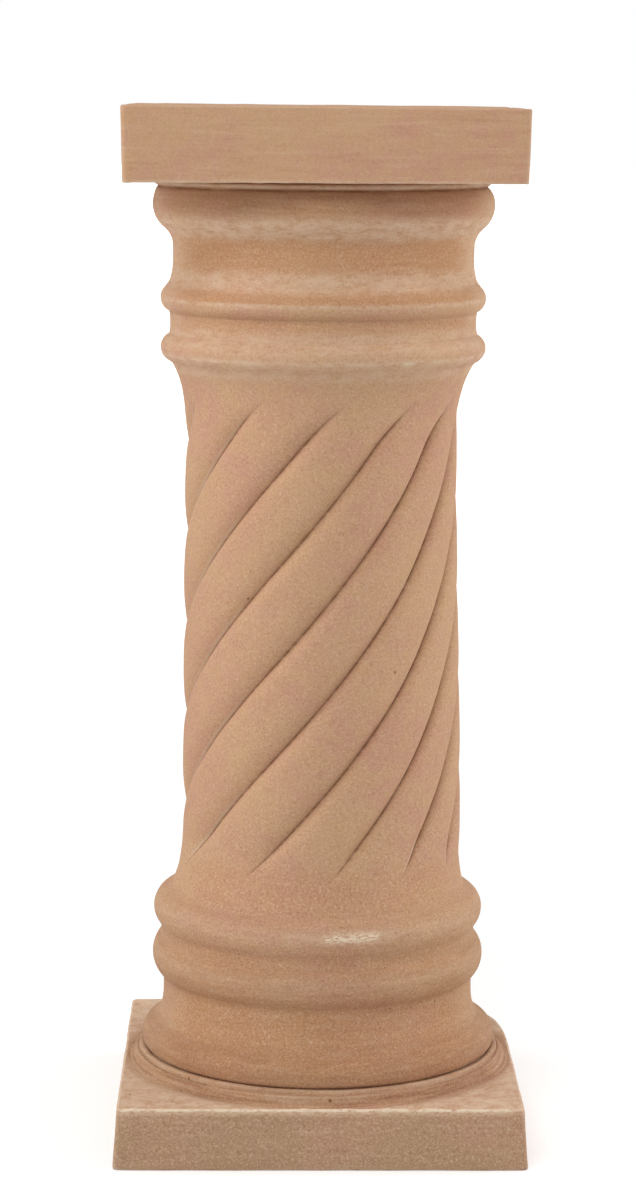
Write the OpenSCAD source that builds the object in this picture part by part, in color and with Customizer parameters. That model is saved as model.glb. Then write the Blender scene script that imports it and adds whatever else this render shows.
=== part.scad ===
// Pedestal column in moulded terracotta: a square plinth, a turned base, a shaft carved
// with spiral lobes, a turned capital and a square abacus, all one casting.
// Millimetres. The origin is the centre of the underside, +Z is up and -Y is the front.

/* [Overall] */
// Height from the underside of the plinth to the top of the abacus
total_h = 750; // [620:1:920]
// Radius of the shaft at its foot, over the crests of the lobes
shaft_foot_r = 102.8; // [80:0.5:125]
// Radius of the shaft at its head, over the crests of the lobes
shaft_head_r = 98.5; // [78:0.5:124]
// How far the shaft swells at the middle of its height
shaft_swell = 1.8; // [0:0.1:5]

/* [Spiral lobes] */
// Number of lobes round the shaft
lobes = 11; // [7:1:16]
// Depth of the grooves between the lobes
lobe_depth = 7; // [2:0.5:11]
// Roundness of a lobe's lower side: 2 is a plain curve, more is flatter with a steeper end
lobe_fall = 2.8; // [1.6:0.1:5]
// Roundness of a lobe's upper side, which rises more sharply from its groove
lobe_rise = 4.4; // [1.6:0.1:6]
// Height in which a lobe makes one whole turn
lobe_lead = 740; // [500:10:1400]
// Angle of the first groove from the front, at the level of the underside
lobe_start = -8; // [-20:0.5:20]
// How far the hand-set lobes stray from even spacing, in degrees
lobe_sway = 12.5; // [0:0.5:16]
// Height over which a groove fades out at each end
lobe_fade = 36; // [15:1:60]
// Plain band left between the end of the grooves and the moulding next to it
lobe_band = 21; // [8:1:40]
// Extra turn of each groove where it fades at the head, in degrees
lobe_hook = 2.5; // [0:0.5:10]

/* [Plinth and base] */
// Height of the plinth's vertical face
plinth_h = 44; // [30:1:70]
// How far the plinth stands out past the bell at the middle of each side
plinth_margin = 17; // [13:0.5:40]
// Amount by which the plinth is narrower at its top, on each side
plinth_draft = 3; // [0:0.5:6]
// How far the neck of the base stands out from the shaft
base_neck_out = 12.4; // [6:0.1:20]
// How far the bell stands out from the neck of the base
bell_out = 16.3; // [8:0.1:24]
// Height of the bell
bell_h = 16; // [12:0.5:24]
// Height of the turned seat that the bell stands on
seat_h = 10.5; // [5:0.5:16]
// Height of the neck between the bell and the lower bead
base_neck_h = 36; // [26:0.5:50]
// Radius of the section of the lower, broad bead
broad_bead_r = 20; // [16:0.5:26]
// Radius of the section of the upper bead of the base
base_bead_r = 14.5; // [12:0.5:20]
// How far both beads of the base stand out from the neck
base_bead_out = 7.7; // [3:0.1:12]
// Distance between the centres of the two beads of the base
base_bead_gap = 35.5; // [30:0.5:50]

/* [Capital and abacus] */
// Height of the abacus
abacus_h = 52.5; // [30:0.5:70]
// How far the abacus stands out past the big torus at the middle of each side
abacus_margin = 16.5; // [8:0.5:40]
// Amount by which the abacus is narrower at its bottom, on each side
abacus_draft = 1.2; // [0:0.1:4]
// How far the neck of the capital stands out from the shaft
cap_neck_out = 11; // [5:0.1:18]
// Radius of the section of the big torus under the abacus
torus_r = 22; // [18:0.5:28]
// How far the big torus stands out from the neck of the capital
torus_out = 14.5; // [8:0.1:18]
// Height of the thin fillet and its joint line under the abacus
fillet_h = 6.5; // [6:0.5:14]
// Height of the plain neck between the big torus and the upper bead
cap_neck_h = 36; // [20:0.5:60]
// Radius of the section of the two beads of the capital
cap_bead_r = 10.5; // [8:0.5:14]
// How far the two beads stand out from the neck of the capital
cap_bead_out = 9; // [4:0.1:12]
// Distance between the centres of the two beads of the capital
cap_bead_gap = 36; // [28:0.5:50]

/* [Hidden] */
clay = [0.77, 0.60, 0.46];
$fn = 96;

// Radii of the base, each one standing out from the piece above it
base_neck_r = shaft_foot_r + base_neck_out;
base_bead_edge = base_neck_r + base_bead_out;
bell_r = base_neck_r + bell_out;
plinth_half = bell_r + plinth_margin;
seat_w = (plinth_margin - plinth_draft) * 0.7;

// Heights of the base, measured up from the plinth
bell_z = plinth_h + seat_h;
broad_bead_z = bell_z + bell_h + base_neck_h + broad_bead_r * 0.85;
base_bead_z = broad_bead_z + base_bead_gap;
foot_z = base_bead_z + base_bead_r * 0.82;

// Radii of the capital
cap_neck_r = shaft_head_r + cap_neck_out;
cap_bead_edge = cap_neck_r + cap_bead_out;
torus_edge = cap_neck_r + torus_out;
abacus_half = torus_edge + abacus_margin;

// Heights of the capital, measured down from the abacus
abacus_z = total_h - abacus_h;
torus_z = abacus_z - fillet_h - 12;
upper_bead_z = torus_z - torus_r - cap_neck_h - cap_bead_r + 1;
lower_bead_z = upper_bead_z - cap_bead_gap;
head_z = lower_bead_z - cap_bead_r - 1;

// How deep one piece reaches into the next, so that the casting is one solid
root = 6;

// Rings and points of the lobed shaft
rings = 46;
points_per_lobe = 8;
points = lobes * points_per_lobe;
foot_flare_h = 54;
head_flare_h = 64;

// A smooth bend from a to b that heads for the corner c, as a row of points
function bend(a, c, b, n = 6) = [
  for (i = [0 : n])
    let (t = i / n)
      (1 - t) * (1 - t) * a + 2 * t * (1 - t) * c + t * t * b
];

function smooth(t) = let (s = min(max(t, 0), 1)) s * s * (3 - 2 * s);

// Share of the way into a flare, from 0 at its start to 1 where it ends
function part_in(x, length) = min(max(x / length, 0), 1);

// Radius of the shaft over the crests: a swelling taper with a flare at each end
function crest_r(z) =
  let (
    along = (z - foot_z) / (head_z - foot_z),
    taper = shaft_foot_r + (shaft_head_r - shaft_foot_r) * smooth(along * 1.3),
    foot = (base_neck_out - 4) * pow(part_in(foot_z + foot_flare_h - z, foot_flare_h), 3.6),
    head = (cap_neck_out + 0.5) * pow(part_in(z - head_z + head_flare_h, head_flare_h), 3.3)
  ) taper + shaft_swell * sin(180 * along) + foot + head;

// Depth of the grooves at a height, which fades to nothing at both ends
function groove(z) =
  lobe_depth * smooth((z - foot_z - lobe_band) / lobe_fade)
  * smooth((head_z - lobe_band + 3 - z) / lobe_fade);

// Turn of the lobes at a height, with a little hook where they fade at the head
function turn(z) =
  let (high = part_in(z - head_z + lobe_band + lobe_fade, lobe_fade))
    lobe_start + 360 * z / lobe_lead + lobe_hook * high * high;

// Share of the groove's depth at a place across a lobe, from -1 at its upper side to 1
function cut(across) = pow(abs(across), across < 0 ? lobe_rise : lobe_fall);

// Angle round the shaft, from the front, after the uneven hand setting
function set_angle(a) = a + lobe_sway * cos(a + 3.5) - 90;

// One ring of the shaft: the points crowd towards the grooves, to keep them crisp
function ring(z) = [
  for (k = [0 : lobes - 1], j = [0 : points_per_lobe - 1])
    let (
      across = -cos(180 * j / points_per_lobe),
      a = set_angle(turn(z) + 360 * (k + (across + 1) / 2) / lobes),
      r = crest_r(z) - groove(z) * cut(across)
    ) [r * cos(a), r * sin(a), z]
];

// Heights of the rings, closer together at both ends
function ring_z(i) =
  let (t = i / rings) foot_z + (head_z - foot_z) * (t - 0.4 * sin(360 * t) / 6.2832);

// A straight collar that carries the ring at the shaft's end into the moulding
function collar(z, from_z) = [for (p = ring(from_z)) [p[0], p[1], z]];

module shaft() {
  stack = concat(
    [collar(foot_z - root, foot_z)],
    [for (i = [0 : rings]) ring(ring_z(i))],
    [collar(head_z + root + 1, head_z)]
  );
  last = len(stack) - 1;
  sides = [
    for (i = [0 : last - 1], j = [0 : points - 1])
      let (k = (j + 1) % points)
        each [
          [i * points + j, (i + 1) * points + j, i * points + k],
          [i * points + k, (i + 1) * points + j, (i + 1) * points + k]
        ]
  ];
  under = [[for (j = [0 : points - 1]) j]];
  over = [[for (j = [points - 1 : -1 : 0]) last * points + j]];
  color(clay)
    polyhedron(points = [for (row = stack) each row], faces = concat(sides, under, over));
}

// A square slab whose four sides lean in by `lean` from the underside to the top
module slab(half, h, lean, edge) {
  face = [
    [-half + edge, 0],
    [half - edge, 0],
    [half, edge],
    [half - lean, h - edge],
    [half - lean - edge, h],
    [-half + lean + edge, h],
    [-half + lean, h - edge],
    [-half, edge]
  ];
  intersection() {
    translate([0, half + 1, 0])
      rotate([90, 0, 0])
        linear_extrude(2 * half + 2) polygon(face);
    translate([-half - 1, 0, 0])
      rotate([90, 0, 90])
        linear_extrude(2 * half + 2) polygon(face);
  }
}

module plinth() {
  color(clay) slab(plinth_half, plinth_h, plinth_draft, 1.2);
}

module abacus() {
  color(clay) translate([0, 0, abacus_z]) slab(abacus_half - abacus_draft, abacus_h, -abacus_draft, 1.2);
}

// A point of the bell's seat: `out` is its share of the seat's width, `up` of its height
function seat(out, up) = [bell_r + seat_w * out, plinth_h + seat_h * up];

// Turned base: seat with fine rings, bell, neck, broad bead and upper bead
module base() {
  inner = bell_r - 3.5;
  hollow_r = base_neck_r + bell_out * 0.62;
  side_z = bell_z + bell_h * 0.5;
  top_z = bell_z + bell_h;
  outline = concat(
    [[0, plinth_h - root], [bell_r + seat_w, plinth_h - 1]],
    bend(seat(1, 0.02), seat(0.72, 0.06), seat(0.62, 0.28), 4),
    bend(seat(0.56, 0.32), seat(0.5, 0.7), seat(0.35, 0.66), 4),
    [seat(0.29, 0.62)],
    bend(seat(0.25, 0.84), seat(0.18, 1.04), seat(-0.12, 0.97), 4),
    [[inner, bell_z - 2.2]],
    bend([inner, bell_z - 0.4], [bell_r, bell_z + 0.4], [bell_r, bell_z + 6], 6),
    bend([bell_r, side_z], [bell_r, top_z - 1.5], [hollow_r, top_z + 1], 6),
    bend([hollow_r - 0.4, top_z + 1.2], [base_neck_r + 0.5, top_z + 6], [base_neck_r, top_z + 23], 8),
    [
      [base_neck_r, broad_bead_z],
      [base_neck_r + 1.5, broad_bead_z],
      [base_neck_r + 1.5, base_bead_z],
      [shaft_foot_r, foot_z - root + 2],
      [0, foot_z - root + 2]
    ]
  );
  color(clay)
    rotate_extrude() {
      polygon(outline);
      translate([base_bead_edge - broad_bead_r + 0.4, broad_bead_z]) circle(broad_bead_r);
      translate([base_bead_edge - base_bead_r - 0.4, base_bead_z]) circle(base_bead_r);
    }
}

// Turned capital: two beads, neck, big torus and the thin fillet under the abacus
module capital() {
  under_torus = torus_z - torus_r + 2;
  fillet_r = torus_edge - 2.5;
  outline = concat(
    [[0, head_z + root - 2], [shaft_head_r, head_z + root - 2]],
    [[cap_neck_r + 2.2, lower_bead_z], [cap_neck_r + 2.2, upper_bead_z + cap_bead_r * 0.8]],
    bend([cap_neck_r + 5, upper_bead_z + cap_bead_r * 0.82],
         [cap_neck_r + 0.6, upper_bead_z + cap_bead_r + 2.5],
         [cap_neck_r, upper_bead_z + cap_bead_r + 16], 5),
    bend([cap_neck_r, under_torus - 12], [cap_neck_r, under_torus - 1],
         [torus_edge - 7.5, under_torus + 6], 6),
    [
      [cap_neck_r, torus_z],
      [cap_neck_r, abacus_z - fillet_h],
      [fillet_r - 2, abacus_z - fillet_h],
      [fillet_r - 2, abacus_z - fillet_h + 1.4]
    ],
    bend([fillet_r - 1, abacus_z - fillet_h + 1.6], [fillet_r + 1.6, abacus_z - fillet_h + 3.6],
         [fillet_r - 1, abacus_z - fillet_h + 5.5], 5),
    [[fillet_r - 2, abacus_z - fillet_h + 5.6], [fillet_r - 2, abacus_z + root], [0, abacus_z + root]]
  );
  color(clay)
    rotate_extrude() {
      polygon(outline);
      translate([cap_bead_edge - cap_bead_r, lower_bead_z]) circle(cap_bead_r);
      translate([cap_bead_edge - cap_bead_r, upper_bead_z]) circle(cap_bead_r);
      translate([torus_edge - torus_r, torus_z]) intersection() {
        circle(torus_r);
        translate([0, -torus_r]) square([torus_r + 1, torus_r + 12]);
      }
    }
}

module column() {
  union() {
    plinth();
    base();
    shaft();
    capital();
    abacus();
  }
}

column();
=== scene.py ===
"""Pedestal column in moulded terracotta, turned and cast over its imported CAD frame."""

import math

import bmesh
import bpy
from bpy.props import FloatProperty, FloatVectorProperty, IntProperty, PointerProperty
from mathutils import Matrix, Vector, noise


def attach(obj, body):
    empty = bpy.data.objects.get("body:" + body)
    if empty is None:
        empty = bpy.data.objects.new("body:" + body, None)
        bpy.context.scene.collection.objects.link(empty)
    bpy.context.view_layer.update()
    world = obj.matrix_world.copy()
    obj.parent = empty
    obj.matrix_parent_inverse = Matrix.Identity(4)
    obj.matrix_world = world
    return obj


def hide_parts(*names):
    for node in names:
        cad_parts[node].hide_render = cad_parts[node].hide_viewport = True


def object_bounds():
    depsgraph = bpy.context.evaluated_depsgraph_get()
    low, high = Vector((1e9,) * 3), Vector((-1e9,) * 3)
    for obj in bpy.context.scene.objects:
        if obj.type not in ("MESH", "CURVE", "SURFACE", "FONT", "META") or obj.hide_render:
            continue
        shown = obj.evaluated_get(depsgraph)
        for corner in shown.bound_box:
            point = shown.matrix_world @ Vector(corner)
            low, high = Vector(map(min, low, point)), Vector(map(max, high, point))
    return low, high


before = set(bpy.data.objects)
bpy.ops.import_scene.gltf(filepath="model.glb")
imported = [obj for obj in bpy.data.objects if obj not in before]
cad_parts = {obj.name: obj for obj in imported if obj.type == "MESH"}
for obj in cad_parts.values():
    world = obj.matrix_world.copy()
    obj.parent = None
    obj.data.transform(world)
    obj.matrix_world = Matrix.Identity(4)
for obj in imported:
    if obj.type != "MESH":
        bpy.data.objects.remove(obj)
CAD_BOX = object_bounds()
FLOOR_Z = CAD_BOX[0][2]
TOP_Z = CAD_BOX[1][2]
MM = 0.001

bl_info = {
    "name": "Pedestal Column",
    "version": (1, 0, 0),
    "blender": (4, 5, 0),
    "location": "3D View > Sidebar > Column",
    "description": "Builds a terracotta pedestal column with a spirally lobed shaft, and its stage",
    "category": "Object",
}


# ---------------------------------------------------------------- settings


class ColumnShape(bpy.types.PropertyGroup):
    """Sizes of the casting that a maker would change."""

    lobes: IntProperty(
        name="Lobes", description="Number of spiral lobes round the shaft", default=11, min=5, max=20
    )
    lobe_depth: FloatProperty(
        name="Groove depth", description="Depth of the grooves between lobes",
        default=7.0 * MM, min=0.0, max=0.015, subtype="DISTANCE", unit="LENGTH",
    )
    lobe_fall: FloatProperty(
        name="Lower side",
        description="Roundness of a lobe's lower side: 2 is a plain curve, more is flatter",
        default=2.8, min=1.5, max=8.0,
    )
    lobe_rise: FloatProperty(
        name="Upper side", description="Roundness of a lobe's upper side, which rises more sharply",
        default=5.0, min=1.5, max=12.0,
    )
    lobe_lead: FloatProperty(
        name="Lead", description="Height in which a lobe makes one whole turn",
        default=0.740, min=0.4, max=2.0, subtype="DISTANCE", unit="LENGTH",
    )
    lobe_start: FloatProperty(
        name="First groove", description="Angle of the first groove from the front, at floor level",
        default=math.radians(-8.0), subtype="ANGLE", unit="ROTATION",
    )
    lobe_sway: FloatProperty(
        name="Uneven setting", description="How far the hand-set lobes stray from even spacing",
        default=math.radians(12.5), subtype="ANGLE", unit="ROTATION",
    )
    unevenness: FloatProperty(
        name="Unevenness", description="Height of the soft waves that moulding leaves in the clay",
        default=0.4 * MM, min=0.0, max=0.002, subtype="DISTANCE", unit="LENGTH",
    )


class ColumnFinish(bpy.types.PropertyGroup):
    """Colours of the fired clay, also used for painted shade and painted highlights."""

    buff: FloatVectorProperty(
        name="Buff", description="Light, sandy clay", subtype="COLOR", size=4,
        default=(0.550, 0.330, 0.195, 1.0), min=0.0, max=1.0,
    )
    pink: FloatVectorProperty(
        name="Pink", description="Redder clay that shows in soft patches", subtype="COLOR", size=4,
        default=(0.532, 0.288, 0.190, 1.0), min=0.0, max=1.0,
    )
    sand: FloatVectorProperty(
        name="Sand", description="Yellower clay of the small mottling", subtype="COLOR", size=4,
        default=(0.548, 0.338, 0.178, 1.0), min=0.0, max=1.0,
    )
    # Also tints the painted shade on the torus under the abacus and between the capital's beads, and is left
    # off the sides, which stay paler as painted rim light
    orange: FloatVectorProperty(
        name="Orange", description="Warmer clay on the turned necks", subtype="COLOR", size=4,
        default=(0.470, 0.235, 0.105, 1.0), min=0.0, max=1.0,
    )
    # Also the colour of painted highlights on the crests, the arrises of the slabs and the sides of the head
    bloom_and_highlight: FloatVectorProperty(
        name="Bloom", description="Pale lime bloom on worn edges", subtype="COLOR", size=4,
        default=(0.680, 0.500, 0.360, 1.0), min=0.0, max=1.0,
    )
    # Also the colour of painted shade: the shadow on the torus under the abacus, the shade under the beads
    # and low on the bell, and the dark lines in the seat's grooves
    soil_and_shade: FloatVectorProperty(
        name="Soil", description="Dark dust that settles in grooves", subtype="COLOR", size=4,
        default=(0.210, 0.090, 0.040, 1.0), min=0.0, max=1.0,
    )
    # Used as painted shade on the plinth's sides
    plinth_shade: FloatVectorProperty(
        name="Grime", description="Greyer film on the sides of the plinth", subtype="COLOR", size=4,
        default=(0.318, 0.212, 0.134, 1.0), min=0.0, max=1.0,
    )
    fresh: FloatVectorProperty(
        name="Fresh", description="Paler clay that shows in fresh scuffs", subtype="COLOR", size=4,
        default=(0.780, 0.640, 0.470, 1.0), min=0.0, max=1.0,
    )


class StudioSettings(bpy.types.PropertyGroup):
    """Light and camera for the stage."""

    key_power: FloatProperty(
        name="Key", description="Power of the light at the upper left of the front",
        default=31.5, min=0.0, unit="POWER",
    )
    left_power: FloatProperty(
        name="Left", description="Power of the tall soft light at the left", default=17.0, min=0.0,
        unit="POWER",
    )
    right_power: FloatProperty(
        name="Right", description="Power of the tall soft light at the right", default=22.0, min=0.0,
        unit="POWER",
    )
    sky: FloatProperty(name="Sky", description="Strength of the even light all round", default=0.55, min=0.0)
    lens: FloatProperty(name="Lens", description="Focal length in millimetres", default=99.7, min=20.0)
    distance: FloatProperty(
        name="Distance", description="Camera to the column's axis, along the floor",
        default=2.4245, min=0.5, subtype="DISTANCE", unit="LENGTH",
    )
    eye_height: FloatProperty(
        name="Eye height", description="Camera above the floor",
        default=0.763, min=0.0, subtype="DISTANCE", unit="LENGTH",
    )
    sidestep: FloatProperty(
        name="Sidestep", description="Camera to the right of the column's axis",
        default=-0.0012, subtype="DISTANCE", unit="LENGTH",
    )
    view_turn: FloatProperty(
        name="View turn", description="Turn of the view round the column, clockwise from above",
        default=math.radians(0.9), subtype="ANGLE", unit="ROTATION",
    )
    pitch: FloatProperty(
        name="Pitch", description="How far the camera looks down",
        default=math.radians(8.785), subtype="ANGLE", unit="ROTATION",
    )
    pan: FloatProperty(
        name="Pan", description="How far the camera looks to the left of the axis",
        default=math.radians(0.012), subtype="ANGLE", unit="ROTATION",
    )
    roll: FloatProperty(
        name="Roll", description="Tilt of the camera about its own line of sight",
        default=math.radians(0.33), subtype="ANGLE", unit="ROTATION",
    )


# ---------------------------------------------------------------- outline of the turned work


# Sizes in millimetres. The slabs stop a hair inside the CAD box, to leave room for the soft waves.
INSET = 0.1
PLINTH_HALF = CAD_BOX[1][0] / MM - INSET
PLINTH_TOP_HALF = PLINTH_HALF - 3.0
PLINTH_H = 44.0
PLINTH_SPREAD_HALF = PLINTH_TOP_HALF - 2.0
SEAT_R = 141.3
BELL_R = 131.5
BASE_NECK_R = 115.2
BROAD_BEAD_Z = 123.5
BROAD_BEAD_CENTRE_R = 103.3
BROAD_BEAD_R = 20.0
BASE_BEAD_Z = 159.0
BASE_BEAD_CENTRE_R = 107.6
BASE_BEAD_R = 14.5
FOOT_Z = 170.9
HEAD_Z = 564.0
SHAFT_START_Z = 173.6
SHAFT_FOOT_R = 102.8
SHAFT_HEAD_R = 98.5
SHAFT_SWELL = 1.8
FOOT_FLARE = 8.4
FOOT_FLARE_H = 54.0
HEAD_FLARE = 11.5
HEAD_FLARE_H = 64.0
LOWER_BEAD_Z = 575.5
UPPER_BEAD_Z = 611.5
CAP_BEAD_CENTRE_R = 108.0
CAP_BEAD_R = 10.5
CAP_NECK_R = 109.5
TORUS_Z = 679.0
TORUS_R = 22.0
TORUS_EDGE = 124.0
ABACUS_Z = 697.6
ABACUS_HALF = 140.5
ABACUS_LOW_HALF = 139.3
ABACUS_SPREAD_R = 121.0
ABACUS_SPREAD_HALF = ABACUS_LOW_HALF - 1.2
TOTAL_H = TOP_Z / MM - INSET

# Plain bands and fading ends of the grooves, their hook at the head and the turn of their uneven setting
LOBE_BAND = 21.0
LOBE_FADE = 36.0
LOBE_HOOK = math.radians(2.5)
SWAY_TURN = math.radians(3.5)

# How much lower the abacus's top is at its right than at its left
ABACUS_FALL = 1.4

# How square the corners of the slabs are: a high number is sharp, 2 would be round
SHARP_CORNER = 90.0
WORN_CORNER = 3.9

# Where the spread from a circle to a square starts and ends, on the plinth and under the abacus
PLINTH_SPREAD = (SEAT_R, PLINTH_SPREAD_HALF)
ABACUS_SPREAD = (ABACUS_SPREAD_R, ABACUS_SPREAD_HALF)

# Marks stored on each vertex. Besides real dust, bloom and scuffs, they carry painted shade and painted
# highlights
MARKS = ("groove", "groove_highlight", "bloom_and_highlight", "soil_and_shade", "warmth_and_shade", "plinth_shade", "scuff")
# How narrow the painted shade line along the bottom of each groove is
GROOVE_LINE = 26
SHAFT_ROWS = 112
STEPS = 264
TURN_STEP = 2.0 * math.pi / STEPS


def smooth(t):
    """Smooth step of t from 0 to 1."""
    s = min(max(t, 0.0), 1.0)
    return s * s * (3.0 - 2.0 * s)


def part_in(x, length):
    """How far x is along a length, from 0 to 1."""
    return min(max(x / length, 0.0), 1.0)


def bend(a, c, b, n):
    """Points of a smooth bend from a to b that heads for the corner c."""
    points = []
    for i in range(n + 1):
        t = i / n
        points.append(tuple((1 - t) ** 2 * p + 2 * t * (1 - t) * q + t * t * r for p, q, r in zip(a, c, b)))
    return points


def arc(centre, radius, start, end, n):
    """Points of an arc about centre, from angle start to angle end in degrees, 0 being outwards."""
    points = []
    for i in range(n + 1):
        angle = math.radians(start + (end - start) * i / n)
        points.append((centre[0] + radius * math.cos(angle), centre[1] + radius * math.sin(angle)))
    return points


def straight(a, b, n):
    """Points from a towards b, without b."""
    return [(a[0] + (b[0] - a[0]) * i / n, a[1] + (b[1] - a[1]) * i / n) for i in range(n)]


def crest_radius(z):
    """Radius of the shaft over the crests of the lobes."""
    along = (z - FOOT_Z) / (HEAD_Z - FOOT_Z)
    taper = SHAFT_FOOT_R + (SHAFT_HEAD_R - SHAFT_FOOT_R) * smooth(along * 1.3)
    foot = FOOT_FLARE * part_in(FOOT_Z + FOOT_FLARE_H - z, FOOT_FLARE_H) ** 3.6
    head = HEAD_FLARE * part_in(z - HEAD_Z + HEAD_FLARE_H, HEAD_FLARE_H) ** 3.3
    return taper + SHAFT_SWELL * math.sin(math.pi * along) + foot + head


def outline():
    """The turned outline as (zone, size, height) from the centre of the underside up to the centre
    of the top. Size is a radius on round zones and half a width on the square slabs."""
    half = PLINTH_HALF
    top_half = PLINTH_TOP_HALF
    rows = []

    def add(zone, points):
        rows.extend((zone, r, z) for r, z in points)

    add("slab", [(r, INSET) for r in (0.0, 70.0, 125.0, half - 1.6)])
    add("slab", bend((half - 1.0, INSET), (half, INSET), (half, 1.4), 2))
    add("slab", straight((half - 0.1, 3.0), (top_half + 0.1, PLINTH_H - 2.5), 12))
    add("slab", bend((top_half + 0.1, PLINTH_H - 1.8), (top_half, PLINTH_H), (top_half - 1.6, PLINTH_H), 4))
    add("spread", straight((PLINTH_SPREAD_HALF, PLINTH_H), (SEAT_R, PLINTH_H + 0.1), 10))
    add("round", bend((SEAT_R, PLINTH_H + 0.2), (138.8, 44.6), (137.6, 47.0), 6))
    add("round", bend((137.3, 47.4), (136.9, 47.4), (136.7, 48.6), 3))
    add("round", bend((136.5, 50.2), (136.0, 51.2), (135.0, 51.1), 4))
    add("round", [(134.6, 50.8), (134.2, 51.4)])
    add("round", bend((133.9, 53.2), (133.2, 54.9), (130.6, 54.3), 5))
    add("round", bend((129.4, 53.4), (128.4, 51.4), (128.3, 53.6), 5))
    add("round", bend((128.6, 54.4), (131.4, 54.9), (BELL_R, 60.5), 8))
    add("round", bend((BELL_R, 62.0), (BELL_R, 69.0), (125.4, 71.6), 9))
    add("round", bend((124.6, 72.2), (115.9, 76.5), (BASE_NECK_R, 93.5), 13))
    add("round", [(BASE_NECK_R, 97.5), (BASE_NECK_R, 101.5), (115.5, 104.8)])
    add("round", arc((BROAD_BEAD_CENTRE_R, BROAD_BEAD_Z), BROAD_BEAD_R, -49.0, 47.0, 18))
    add("round", [(116.8, 139.6), (116.5, 141.4), (116.6, 143.4), (117.0, 145.2)])
    add("round", bend((117.6, 147.3), (120.5, 150.5), (121.7, 155.0), 4))
    add("round", arc((BASE_BEAD_CENTRE_R, BASE_BEAD_Z), BASE_BEAD_R, -8.0, 61.0, 10))
    for i in range(SHAFT_ROWS + 1):
        t = i / SHAFT_ROWS
        z = SHAFT_START_Z + (HEAD_Z - SHAFT_START_Z) * (t - 0.42 * math.sin(2 * math.pi * t) / (2 * math.pi))
        rows.append(("shaft", crest_radius(z), z))
    add("round", arc((CAP_BEAD_CENTRE_R, LOWER_BEAD_Z), CAP_BEAD_R, -66.0, 66.0, 16))
    add("round", [(111.9, 587.2), (111.6, 590.2), (111.6, 593.5), (111.6, 597.0), (111.9, 599.9)])
    add("round", arc((CAP_BEAD_CENTRE_R, UPPER_BEAD_Z), CAP_BEAD_R, -66.0, 50.0, 15))
    add("round", bend((113.9, 621.0), (110.4, 623.6), (CAP_NECK_R, 636.0), 7))
    add("round", straight((CAP_NECK_R, 639.0), (CAP_NECK_R, 650.0), 4))
    add("round", bend((109.6, 650.5), (110.6, 657.5), (115.6, 661.6), 7))
    add("round", arc((TORUS_EDGE - TORUS_R, TORUS_Z), TORUS_R, -48.0, 31.0, 20))
    add("round", [(119.8, 691.3), (119.5, 692.2)])
    add("round", bend((120.6, 692.8), (123.4, 694.6), (120.8, 696.6), 6))
    add("round", [(119.6, 696.9), (119.5, ABACUS_Z)])
    add("spread", straight((ABACUS_SPREAD_R, ABACUS_Z), (ABACUS_SPREAD_HALF, ABACUS_Z), 8))
    low = ABACUS_LOW_HALF
    add("slab", bend((low - 1.0, ABACUS_Z), (low, ABACUS_Z), (low, ABACUS_Z + 1.0), 3))
    add("slab", straight((low, ABACUS_Z + 2.5), (ABACUS_HALF, TOTAL_H - 2.5), 12))
    add("slab", bend((ABACUS_HALF, TOTAL_H - 1.4), (ABACUS_HALF, TOTAL_H), (ABACUS_HALF - 1.4, TOTAL_H), 4))
    add("slab", [(ABACUS_HALF - 4.0, TOTAL_H), (110.0, TOTAL_H), (55.0, TOTAL_H), (0.0, TOTAL_H)])
    return rows


# ---------------------------------------------------------------- marks of age, painted shade and painted highlights on the casting


# Bands round the casting as (height, half height, amount) in millimetres. The bands carry real marks and
# painted light, as noted at each
# Pale bands, partly lime bloom and partly painted highlight, on the bead crests, under the torus, on the
# fillet under the abacus and on the seat's lip
BLOOM_AND_HIGHLIGHT_BANDS = (
    (664.5, 7.5, 0.82), (627.0, 8.0, 0.58), (611.5, 1.6, 0.55), (585.0, 8.0, 0.50), (572.0, 1.8, 0.75),
    (565.0, 7.0, 0.55), (163.0, 5.0, 0.14), (128.0, 5.0, 0.20), (694.6, 1.6, 0.80), (53.2, 1.2, 0.45),
)
# Dust, and painted shade: a painted shadow on the torus under the abacus, dark lines under the abacus,
# painted shade under the beads and on the lower bell, and the base darker towards the bottom
SOIL_AND_SHADE_BANDS = (
    (684.0, 12.0, 0.36), (691.6, 1.0, 0.95), (697.2, 0.7, 1.00), (144.0, 5.0, 0.16), (113.5, 5.0, 0.26),
    (106.0, 6.0, 0.12), (66.0, 16.0, 0.36), (46.8, 3.0, 0.36), (50.9, 0.6, 0.45), (100.0, 40.0, 0.10),
    (128.0, 16.0, 0.28), (164.0, 14.0, 0.15),
)
# Warmer clay on the necks and the base, and a warm tint in the painted shade between the capital's beads and
# on the torus under the abacus
WARMTH_AND_SHADE_BANDS = (
    (648.0, 19.0, 0.70), (616.5, 5.0, 0.75), (596.0, 8.0, 0.50), (684.0, 12.0, 0.35), (140.0, 14.0, 0.40),
    (85.0, 40.0, 0.62), (190.0, 16.0, 0.35),
)

# Grit holes at the foot as (right, back, up) in millimetres, and how wide they are
GRIT_HOLES = (
    ((-100.4, -100.6, 44.0), 1.5), ((-83.0, -107.0, 50.9), 1.4), ((7.0, -137.0, 48.0), 1.7),
    ((-139.3, 22.1, 44.0), 1.3),
)


def band_amount(z, bands):
    """How strongly the nearest band marks a height, fading softly past its edges."""
    best = 0.0
    for middle, half, amount in bands:
        best = max(best, amount * (1.0 - smooth((abs(z - middle) - half * 0.4) / (half * 1.1))))
    return best


def rubbed(x, z, left, right, height, spread):
    """How strongly a place is rubbed between two sides and about one height, on the front."""
    return smooth((x - left) / 6.0) * smooth((right - x) / 6.0) * math.exp(-((z - height) / spread) ** 2)


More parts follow.
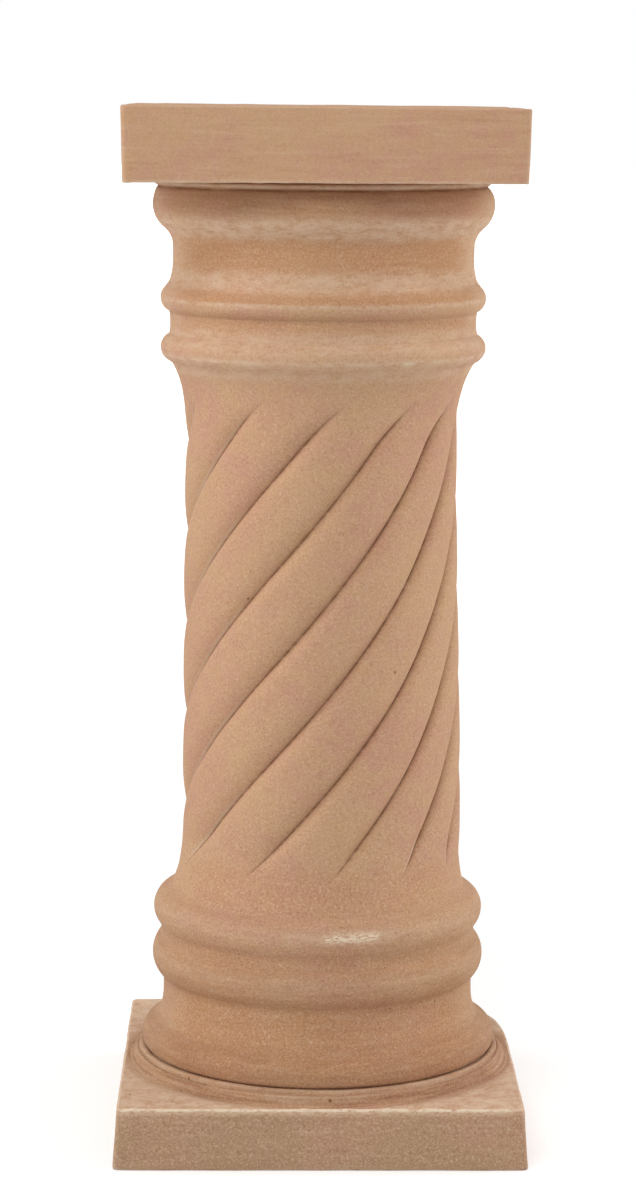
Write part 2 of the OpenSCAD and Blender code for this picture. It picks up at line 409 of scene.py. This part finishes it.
def age_marks(zone, x, y, z):
    """Amounts of bloom, dust, warm clay, scuff and of the painted shade and painted highlights at a place on
    the casting.
    """
    size = max(math.hypot(x, y), 1.0)
    if zone in ("round", "shaft"):
        side = abs(x) / size
        bloom_and_highlight, soil_and_shade = band_amount(z, BLOOM_AND_HIGHLIGHT_BANDS), band_amount(z, SOIL_AND_SHADE_BANDS)
        # Warmer clay, with painted shade on the torus and between the beads, faded at the left and right
        # sides as painted rim light
        warmth_and_shade = band_amount(z, WARMTH_AND_SHADE_BANDS) * (1.0 - 0.85 * smooth((side - 0.80) / 0.17))
        scuff = 0.0
        # Painted shadow of the abacus on the torus, strongest at the front left and fading towards the back
        # and the right
        if TORUS_Z - TORUS_R < z < 690.0:
            soil_and_shade *= 0.70 - 0.30 * (0.45 * x + 0.90 * y) / size
        # Painted rim light: the left and right sides of the capital paler
        if z > HEAD_Z:
            bloom_and_highlight = max(bloom_and_highlight, 0.4 * smooth((side - 0.86) / 0.14))
        if y < 0.0:
            scuff = max(rubbed(x, z, 0.0, 45.0, 162.5, 3.0), 0.8 * rubbed(x, z, 50.0, 64.0, 571.0, 1.6))
            bloom_and_highlight = max(bloom_and_highlight, 0.5 * rubbed(x, z, -30.0, 55.0, 162.5, 4.0))
        return {"bloom_and_highlight": bloom_and_highlight, "soil_and_shade": soil_and_shade, "warmth_and_shade": warmth_and_shade, "plinth_shade": 0.0, "scuff": scuff}
    low = z < FOOT_Z
    if zone == "spread":
        # On the plinth's top: painted shade round the foot of the bell, and a painted highlight towards the
        # corners
        corner = smooth((size - 140.0) / 14.0)
        bloom_and_highlight, soil_and_shade = (1.15 * corner, 0.30 * (1.0 - corner)) if low else (0.0, 0.0)
        return {"bloom_and_highlight": bloom_and_highlight, "soil_and_shade": soil_and_shade, "warmth_and_shade": 0.0, "plinth_shade": 0.0, "scuff": 0.0}
    # Painted highlight along the plinth's top arris and the abacus's bottom arris, partly lime bloom
    arris = 2.0 * math.exp(-((z - PLINTH_H) / 1.1) ** 2)
    arris += 0.9 * math.exp(-((z - ABACUS_Z - 0.3) / 1.1) ** 2)
    # Painted shade: the plinth's sides below the top arris greyer and darker, a little more on the left
    plinth_shade = (0.52 - 0.06 * x / size) * smooth((PLINTH_H - 1.0 - z) / 3.0) if low else 0.0
    scuff = 1.3 * rubbed(x, z, -146.0, 140.0, PLINTH_H - 0.2, 1.5) if low and y < 0.0 else 0.0
    return {"bloom_and_highlight": arris, "soil_and_shade": 0.0, "warmth_and_shade": 0.0, "plinth_shade": plinth_shade, "scuff": scuff}


# ---------------------------------------------------------------- casting the spun shape


def square_point(angle, half, worn_corner):
    """Point of a square's edge at a column of the spun mesh; columns crowd towards the corners."""
    quarter = math.pi / 2.0
    face = round(angle / quarter)
    t = (angle - face * quarter) / (quarter / 2.0)
    s = 0.3 * t + 0.7 * math.sin(quarter * t)
    turned = face * quarter
    px = math.cos(turned) - s * math.sin(turned)
    py = math.sin(turned) + s * math.cos(turned)
    sharpness = WORN_CORNER if worn_corner and px > 0.0 and py > 0.0 else SHARP_CORNER
    size = (abs(px) ** sharpness + abs(py) ** sharpness) ** (1.0 / sharpness)
    return half * px / size, half * py / size


class Lobes:
    """The spiral lobes of the shaft, set out from the column's settings."""

    def __init__(self, shape):
        self.count = shape.lobes
        self.depth = shape.lobe_depth / MM
        self.fall = shape.lobe_fall
        self.rise = shape.lobe_rise
        self.lead = shape.lobe_lead / MM
        self.start = shape.lobe_start
        self.sway = shape.lobe_sway

    def turn(self, z):
        high = part_in(z - HEAD_Z + LOBE_BAND + LOBE_FADE, LOBE_FADE)
        return self.start + 2 * math.pi * z / self.lead + LOBE_HOOK * high * high

    def groove(self, z):
        foot = smooth((z - FOOT_Z - LOBE_BAND) / LOBE_FADE)
        head = smooth((HEAD_Z - LOBE_BAND + 3.0 - z) / LOBE_FADE)
        return self.depth * foot * head

    def place(self, column, z):
        """(angle, distance across the lobe from -1 to 1) of a column of the spun mesh."""
        lobe, part = divmod(column * self.count / STEPS, 1.0)
        across = -math.cos(math.pi * part)
        set_out = self.turn(z) + 2 * math.pi * (lobe + (across + 1.0) / 2.0) / self.count
        return set_out + self.sway * math.cos(set_out + SWAY_TURN) - math.pi / 2.0, across


def lean(z):
    """How far the casting's axis strays sideways at a height, in millimetres."""
    foot = smooth((192.0 - z) / 22.0) * smooth((z - 60.0) / 30.0)
    middle = smooth((z - 180.0) / 40.0) * smooth((470.0 - z) / 220.0)
    head = smooth((z - 520.0) / 60.0) * smooth((693.0 - z) / 8.0)
    return -0.8 * foot + 1.6 * middle + 0.9 * head


def spin_outline(rows):
    """Spins the outline once round. Every vertex keeps the number of its row."""
    bm = bmesh.new()
    row_of = bm.verts.layers.int.new("row")
    line = []
    for index, (_zone, size, z) in enumerate(rows):
        vert = bm.verts.new((size * MM, 0.0, z * MM))
        vert[row_of] = index
        line.append(vert)
    edges = [bm.edges.new(pair) for pair in zip(line, line[1:])]
    bmesh.ops.spin(
        bm, geom=line + edges, cent=(0, 0, 0), axis=(0, 0, 1), angle=2 * math.pi, steps=STEPS,
        use_merge=True, use_duplicate=False,
    )
    bmesh.ops.remove_doubles(bm, verts=bm.verts[:], dist=1e-6)
    return bm


def cast(bm, rows, shape):
    """Moves the spun vertices to the square slabs and the spiral lobes, and stores the marks, with the
    painted shade along the grooves and the painted highlights beside them.
    """
    lobes = Lobes(shape)
    for name in MARKS:
        bm.verts.layers.float.new(name)
    layers = {name: bm.verts.layers.float[name] for name in MARKS}
    row_of = bm.verts.layers.int["row"]
    foot_turn = round((lobes.turn(FOOT_Z) - math.pi / 2.0) / TURN_STEP) * TURN_STEP
    head_turn = round((lobes.turn(HEAD_Z) - math.pi / 2.0) / TURN_STEP) * TURN_STEP
    for vert in bm.verts:
        zone, size, z = rows[vert[row_of]]
        column = round(math.atan2(vert.co.y, vert.co.x) / TURN_STEP) % STEPS
        groove = groove_highlight = 0.0
        if size < 1e-6:
            vert.co = (0.0, 0.0, z * MM)
            continue
        if zone == "shaft":
            angle, across = lobes.place(column, z)
            cut = abs(across) ** (lobes.rise if across < 0.0 else lobes.fall)
            radius = size - lobes.groove(z) * cut
            # Painted shade: a dark line along the bottom of each groove, where the groove lies in shade
            groove = min(1.0, 2.0 * lobes.groove(z) / max(lobes.depth, 0.001)) * abs(across) ** GROOVE_LINE
            sideways = math.cos(angle)
            # Painted highlight: a pale line on each lobe's edge beside the groove, strong on the right side
            # and weaker on the left, where the side lights catch the edges
            groove_highlight = smooth((across - 0.86) / 0.08) * smooth((0.995 - across) / 0.02)
            groove_highlight *= min(lobes.groove(z) / 3.0, 1.0)
            groove_highlight *= 0.06 + (0.94 if sideways > 0.0 else 0.42) * smooth((abs(sideways) - 0.50) / 0.22)
            x, y = radius * math.cos(angle), radius * math.sin(angle)
        else:
            below = z < FOOT_Z + 10.0
            end_z = FOOT_Z + 2.7 if below else HEAD_Z
            even = column * TURN_STEP + (foot_turn if below else head_turn)
            at_end, _across = lobes.place(column, end_z)
            near = 1.0 - smooth(abs(z - end_z) / 30.0)
            angle = even + near * ((at_end - even + math.pi) % (2 * math.pi) - math.pi)
            x, y = size * math.cos(angle), size * math.sin(angle)
            if zone != "round":
                square_x, square_y = square_point(angle % (2 * math.pi), size, below)
                amount = 1.0
                if zone == "spread":
                    inner, outer = PLINTH_SPREAD if below else ABACUS_SPREAD
                    amount = (size - inner) / (outer - inner)
                x += (square_x - x) * amount
                y += (square_y - y) * amount
        for name, amount in age_marks(zone, x, y, z).items():
            vert[layers[name]] = amount
        vert[layers["groove"]] = groove
        vert[layers["groove_highlight"]] = groove_highlight
        if zone in ("round", "shaft"):
            x += lean(z)
        elif z > ABACUS_Z:
            z -= ABACUS_FALL * (0.5 + 0.5 * x / ABACUS_HALF) * (z - ABACUS_Z) / (TOTAL_H - ABACUS_Z)
        vert.co = (x * MM, y * MM, z * MM)


def roughen(bm, rows, shape):
    """Soft waves all over and small losses along the arrises, never past the CAD box."""
    bm.normal_update()
    low, high = CAD_BOX
    row_of = bm.verts.layers.int["row"]
    moves = []
    for vert in bm.verts:
        zone, _size, z = rows[vert[row_of]]
        broad = noise.noise(vert.co * 22.0)
        fine = noise.noise(vert.co * 70.0 + Vector((3.1, 0.0, 7.7)))
        push = shape.unevenness * (broad + 0.4 * fine)
        if zone == "slab" and z > 1.0:
            arris = math.exp(-(min(abs(z - PLINTH_H), abs(z - ABACUS_Z), abs(z - TOTAL_H)) / 1.6) ** 2)
            chip = max(0.0, noise.noise(vert.co * 95.0) + 0.35 * noise.noise(vert.co * 260.0) - 0.12)
            front = 1.0 if vert.co.y < -0.12 else 0.45
            push -= arris * chip * (1.8 if z < 100.0 else 0.7) * front * MM
        moves.append(vert.normal * push)
    for vert, move in zip(bm.verts, moves):
        place = vert.co + move
        vert.co = [min(max(p, a), b) for p, a, b in zip(place, low, high)]


def finish_mesh(bm, name):
    """Turns the bmesh into a smooth shaded object at the origin."""
    bmesh.ops.recalc_face_normals(bm, faces=bm.faces[:])
    for face in bm.faces:
        face.smooth = True
    mesh = bpy.data.meshes.new(name)
    bm.to_mesh(mesh)
    bm.free()
    obj = bpy.data.objects.new(name, mesh)
    bpy.context.collection.objects.link(obj)
    return obj


# ---------------------------------------------------------------- materials


class Nodes:
    """Short calls for building the node tree of a material or a world."""

    def __init__(self, owner):
        owner.use_nodes = True
        self.tree = owner.node_tree
        self.tree.nodes.clear()

    def put(self, socket, value):
        """Links a socket to another, or sets it to a plain value."""
        if isinstance(value, bpy.types.NodeSocket):
            self.tree.links.new(value, socket)
        else:
            socket.default_value = value

    def add(self, kind, **inputs):
        """A node with its inputs filled in by name, with _ for a space."""
        node = self.tree.nodes.new(kind)
        for key, value in inputs.items():
            name = key.replace("_", " ")
            self.put(next(s for s in node.inputs if s.name == name and s.enabled), value)
        return node

    def math(self, operation, a, b=0.0):
        node = self.tree.nodes.new("ShaderNodeMath")
        node.operation = operation
        self.put(node.inputs[0], a)
        self.put(node.inputs[1], b)
        return node.outputs[0]

    def times(self, a, b):
        return self.math("MULTIPLY", a, b)

    def greatest(self, a, b):
        return self.math("MAXIMUM", a, b)

    def vector_math(self, operation, a, b=(0.0, 0.0, 0.0)):
        node = self.tree.nodes.new("ShaderNodeVectorMath")
        node.operation = operation
        self.put(node.inputs[0], a)
        self.put(node.inputs[1], b)
        return node.outputs

    def mix(self, amount, a, b):
        """Colour a with b over it by an amount."""
        node = self.tree.nodes.new("ShaderNodeMix")
        node.data_type = "RGBA"
        for index, value in ((0, amount), (6, a), (7, b)):
            self.put(node.inputs[index], value)
        return node.outputs[2]

    def band(self, value, low, high, to_low=0.0, to_high=1.0):
        """Smooth step of a value between low and high."""
        node = self.tree.nodes.new("ShaderNodeMapRange")
        node.interpolation_type = "SMOOTHSTEP"
        self.tree.links.new(value, node.inputs["Value"])
        for key, number in (("From Min", low), ("From Max", high), ("To Min", to_low), ("To Max", to_high)):
            node.inputs[key].default_value = number
        return node.outputs["Result"]

    def attribute(self, name):
        node = self.tree.nodes.new("ShaderNodeAttribute")
        node.attribute_name = name
        return node.outputs["Fac"]

    def noise(self, vector, scale, detail=3.0, roughness=0.55):
        node = self.add("ShaderNodeTexNoise", Vector=vector, Scale=scale, Detail=detail, Roughness=roughness)
        return node.outputs["Fac"]

    def stretched(self, vector, scale):
        return self.vector_math("MULTIPLY", vector, scale)["Vector"]

    def seen_straight(self):
        """1 on rays that show a thing to the camera, straight or by mirror or glass."""
        path = self.add("ShaderNodeLightPath").outputs
        seen = self.greatest(path["Is Camera Ray"], path["Is Glossy Ray"])
        return self.greatest(seen, path["Is Transmission Ray"])


def terracotta(finish):
    """Fired clay: patches of buff and pink, turning lines, lime bloom, dust in the grooves, and painted
    shade and painted highlights.
    """
    material = bpy.data.materials.new("terracotta")
    n = Nodes(material)
    buff, pink, sand, orange, pale, dark, shade_grey, fresh = (
        tuple(clay) for clay in (
            finish.buff, finish.pink, finish.sand, finish.orange, finish.bloom_and_highlight, finish.soil_and_shade, finish.plinth_shade,
            finish.fresh,
        )
    )
    place = n.add("ShaderNodeTexCoord").outputs["Object"]
    parts = n.add("ShaderNodeSeparateXYZ", Vector=place).outputs
    height = parts["Z"]
    edges = n.add("ShaderNodeNewGeometry").outputs["Pointiness"]
    groove, groove_highlight, bloom_and_highlight, soil_and_shade, warmth_and_shade, plinth_shade, scuff = (n.attribute(name) for name in MARKS)

    # The clay itself: broad patches, small mottling, a warmer body on the necks that also tints the painted
    # shade on the torus, and painted shade on the plinth's sides
    patches = n.band(n.noise(place, 11.0, 3.0, 0.6), 0.38, 0.64)
    colour = n.mix(patches, buff, pink)
    dapple = n.band(n.noise(place, 85.0, 3.0, 0.6), 0.35, 0.68)
    colour = n.mix(n.times(dapple, 0.55), colour, sand)
    broken_warmth_and_shade = n.times(warmth_and_shade, n.band(n.noise(place, 18.0, 3.0), 0.30, 0.60, 0.55, 1.0))
    colour = n.mix(broken_warmth_and_shade, colour, orange)
    # Painted shade greying the plinth's sides
    colour = n.mix(n.times(plinth_shade, n.band(patches, 0.0, 1.0, 1.0, 0.75)), colour, shade_grey)

    # Turning lines: short level streaks on the turned work and slabs, hardly any on the lobes
    lines = n.noise(n.stretched(place, (24.0, 24.0, 300.0)), 1.0, 4.0, 0.62)
    off_shaft = n.greatest(n.band(height, 0.190, 0.165), n.band(height, 0.560, 0.585))
    streaks = n.times(n.band(lines, 0.50, 0.72), n.times(off_shaft, 0.20))
    colour = n.mix(streaks, colour, pale)
    dark_lines = n.times(n.band(lines, 0.46, 0.30), n.times(off_shaft, 0.12))
    colour = n.mix(dark_lines, colour, dark)

    # Rings that turning left on the seat of the bell
    flat = n.add("ShaderNodeCombineXYZ", X=parts["X"], Y=parts["Y"])
    out_from_axis = n.vector_math("LENGTH", flat.outputs[0])["Value"]
    around = n.add(
        "ShaderNodeCombineXYZ", X=n.times(parts["X"], 14.0), Y=n.times(parts["Y"], 14.0),
        Z=n.times(out_from_axis, 420.0),
    )
    rings = n.noise(around.outputs[0], 1.0, 3.0, 0.6)
    on_seat = n.times(n.band(height, 0.0565, 0.0535), n.band(height, 0.0432, 0.0438))
    on_seat = n.times(on_seat, n.band(out_from_axis, 0.158, 0.142))
    colour = n.mix(n.times(n.band(rings, 0.52, 0.38, 0.0, 0.45), on_seat), colour, dark)
    colour = n.mix(n.times(n.band(rings, 0.52, 0.66, 0.0, 0.40), on_seat), colour, pale)

    # Grain, coarser at the foot and finest on the abacus
    grain = n.noise(place, 640.0, 3.0, 0.85)
    coarse = n.times(n.band(height, 0.705, 0.690, 0.5, 1.0), n.band(height, 0.26, 0.17, 1.0, 1.35))
    light_grain = n.times(n.band(grain, 0.50, 0.70, 0.0, 0.55), coarse)
    dark_grain = n.times(n.band(grain, 0.48, 0.28, 0.0, 0.48), coarse)
    colour = n.mix(light_grain, colour, pale)
    colour = n.mix(dark_grain, colour, dark)

    # Lime bloom on crests, and painted highlights on crests and arrises, in broken smears
    broken = n.band(n.noise(n.stretched(place, (70.0, 70.0, 190.0)), 1.0, 6.0, 0.85), 0.34, 0.64)
    colour = n.mix(n.times(bloom_and_highlight, broken), colour, pale)
    worn = n.times(n.band(edges, 0.512, 0.55), n.band(n.noise(place, 70.0), 0.36, 0.56))
    colour = n.mix(n.times(worn, 0.5), colour, pale)

    # Dust, and painted shade, in the grooves, joints and undercuts
    uneven = n.band(n.noise(n.stretched(place, (34.0, 34.0, 240.0)), 1.0, 4.0, 0.7), 0.30, 0.62, 0.45, 1.0)
    # Painted shade in concave places, found from the pointiness of the mesh
    hollow_shade = n.times(n.band(edges, 0.487, 0.44), 0.30)
    dust_and_shade = n.greatest(groove, n.greatest(hollow_shade, soil_and_shade))
    colour = n.mix(n.times(dust_and_shade, uneven), colour, dark)

    # Painted highlights on the lobes' edges beside the grooves, and fresh scuffs that show paler clay
    colour = n.mix(n.times(groove_highlight, 0.95), colour, pale)
    scratched = n.band(n.noise(n.stretched(place, (230.0, 230.0, 700.0)), 1.0, 3.0, 0.7), 0.38, 0.56)
    colour = n.mix(n.times(scuff, scratched), colour, fresh)

    # A few pinholes where grit fell out
    pores = n.add("ShaderNodeTexVoronoi", Vector=place, Scale=95.0)
    few = n.band(n.add("ShaderNodeSeparateColor", Color=pores.outputs["Color"]).outputs["Red"], 0.972, 0.976)
    pits = n.times(n.band(pores.outputs["Distance"], 0.12, 0.07), few)
    for centre, width in GRIT_HOLES:
        away = n.vector_math("DISTANCE", place, [c * MM for c in centre])["Value"]
        pits = n.greatest(pits, n.band(away, width * MM, 0.4 * width * MM))
    colour = n.mix(n.times(pits, 0.8), colour, dark)

    # Relief of the grain, the turning lines and the pinholes
    relief = n.math("ADD", n.times(grain, 0.45), n.times(lines, n.times(off_shaft, 0.45)))
    relief = n.math("ADD", relief, n.times(n.noise(place, 130.0, 3.0), 0.9))
    relief = n.math("SUBTRACT", relief, n.times(pits, 3.0))
    bump = n.add("ShaderNodeBump", Strength=0.55, Distance=0.0006, Height=relief)
    rough = n.band(grain, 0.3, 0.8, 0.80, 0.95)
    shader = n.add(
        "ShaderNodeBsdfPrincipled", Base_Color=colour, Roughness=rough, Normal=bump.outputs["Normal"]
    )
    shader.inputs["Specular IOR Level"].default_value = 0.2
    n.add("ShaderNodeOutputMaterial", Surface=shader.outputs[0])
    return material


def floor_finish():
    """Pale floor that keeps the column's shadow and runs out to white far from it."""
    material = bpy.data.materials.new("studio_floor")
    n = Nodes(material)
    place = n.add("ShaderNodeTexCoord").outputs["Object"]
    away = n.vector_math("LENGTH", place)["Value"]
    lift = n.times(n.seen_straight(), n.band(away, 0.5, 4.0, 0.34, 1.0))
    matt = n.add("ShaderNodeBsdfDiffuse", Color=(0.80, 0.80, 0.80, 1.0))
    glow = n.add("ShaderNodeEmission", Color=(1.0, 1.0, 1.0, 1.0), Strength=lift)
    both = n.add("ShaderNodeAddShader")
    n.put(both.inputs[0], matt.outputs[0])
    n.put(both.inputs[1], glow.outputs[0])
    n.add("ShaderNodeOutputMaterial", Surface=both.outputs[0])
    return material


# ---------------------------------------------------------------- stage


def add_floor():
    """A wide floor that the column stands on."""
    bm = bmesh.new()
    bmesh.ops.create_grid(bm, x_segments=1, y_segments=1, size=30.0)
    bmesh.ops.translate(bm, vec=(0, 0, FLOOR_Z), verts=bm.verts[:])
    mesh = bpy.data.meshes.new("floor")
    bm.to_mesh(mesh)
    bm.free()
    floor = bpy.data.objects.new("floor", mesh)
    bpy.context.collection.objects.link(floor)
    floor.data.materials.append(floor_finish())


def add_softbox(name, place, aim, size, power):
    """A rectangular light that faces a point."""
    light = bpy.data.lights.new(name, "AREA")
    light.shape = "RECTANGLE"
    light.size, light.size_y = size
    light.energy = power
    lamp = bpy.data.objects.new(name, light)
    lamp.location = place
    lamp.rotation_euler = (Vector(aim) - Vector(place)).to_track_quat("-Z", "Y").to_euler()
    bpy.context.collection.objects.link(lamp)


def add_sky(strength):
    """Even light all round, plain white where it is seen."""
    world = bpy.data.worlds.new("studio")
    bpy.context.scene.world = world
    n = Nodes(world)
    level = n.add("ShaderNodeMapRange", Value=n.seen_straight(), To_Min=strength, To_Max=1.0)
    sky = n.add("ShaderNodeBackground", Color=(1.0, 1.0, 1.0, 1.0), Strength=level.outputs["Result"])
    n.add("ShaderNodeOutputWorld", Surface=sky.outputs[0])


def add_camera(studio):
    """The camera stands in front, a little above the abacus, and looks slightly down."""
    data = bpy.data.cameras.new("camera")
    data.sensor_fit = "VERTICAL"
    data.sensor_height = 36.0
    data.lens = studio.lens
    data.clip_start = 0.05
    data.clip_end = 80.0
    camera = bpy.data.objects.new("camera", data)
    bpy.context.collection.objects.link(camera)
    round_column = Matrix.Rotation(-studio.view_turn, 3, "Z")
    ahead = Vector((-math.sin(studio.pan), math.cos(studio.pitch), -math.sin(studio.pitch)))
    aim = ahead.to_track_quat("-Z", "Y").to_matrix()
    place = round_column @ Vector((0.0, -studio.distance, 0.0))
    camera.location = (place.x + studio.sidestep, place.y, studio.eye_height)
    camera.rotation_euler = (round_column @ aim @ Matrix.Rotation(studio.roll, 3, "Z")).to_euler()
    bpy.context.scene.camera = camera


# ---------------------------------------------------------------- operators


class COLUMN_OT_casting(bpy.types.Operator):
    """Make the terracotta casting: slabs, mouldings and spirally lobed shaft"""

    bl_idname = "column.casting"
    bl_label = "Casting"

    def execute(self, context):
        shape = context.scene.column_shape
        rows = outline()
        bm = spin_outline(rows)
        cast(bm, rows, shape)
        roughen(bm, rows, shape)
        column = finish_mesh(bm, "column_casting")
        column.data.materials.append(terracotta(context.scene.column_finish))
        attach(column, "root")
        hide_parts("column")
        return {"FINISHED"}


class COLUMN_OT_stage(bpy.types.Operator):
    """Set the floor, the lights and the camera"""

    bl_idname = "column.stage"
    bl_label = "Stage"

    def execute(self, context):
        studio = context.scene.column_studio
        add_floor()
        add_sky(studio.sky)
        middle = (0.0, 0.0, TOP_Z * 0.55)
        add_softbox("key", (-0.6, -2.0, 2.6), middle, (1.6, 1.2), studio.key_power)
        add_softbox("left", (-2.1, -0.1, 1.0), middle, (1.0, 1.8), studio.left_power)
        add_softbox("right", (2.1, 0.3, 1.0), middle, (1.0, 1.8), studio.right_power)
        add_camera(studio)
        context.scene.view_settings.view_transform = "Standard"
        return {"FINISHED"}


class COLUMN_PT_panel(bpy.types.Panel):
    """Buttons for the column and its stage"""

    bl_idname = "COLUMN_PT_panel"
    bl_label = "Pedestal column"
    bl_space_type = "VIEW_3D"
    bl_region_type = "UI"
    bl_category = "Column"

    def draw(self, context):
        for title, settings, operator in (
            ("Casting", "column_shape", "column.casting"),
            ("Finish", "column_finish", None),
            ("Stage", "column_studio", "column.stage"),
        ):
            box = self.layout.box()
            box.label(text=title)
            group = getattr(context.scene, settings)
            for name in group.__annotations__:
                box.prop(group, name)
            if operator:
                box.operator(operator)


CLASSES = (
    ColumnShape, ColumnFinish, StudioSettings, COLUMN_OT_casting, COLUMN_OT_stage, COLUMN_PT_panel,
)


def register():
    for item in CLASSES:
        bpy.utils.register_class(item)
    bpy.types.Scene.column_shape = PointerProperty(type=ColumnShape)
    bpy.types.Scene.column_finish = PointerProperty(type=ColumnFinish)
    bpy.types.Scene.column_studio = PointerProperty(type=StudioSettings)


def unregister():
    del bpy.types.Scene.column_studio
    del bpy.types.Scene.column_finish
    del bpy.types.Scene.column_shape
    for item in reversed(CLASSES):
        bpy.utils.unregister_class(item)


def main():
    register()
    bpy.ops.column.stage()
    bpy.ops.column.casting()


if __name__ == "__main__":
    main()
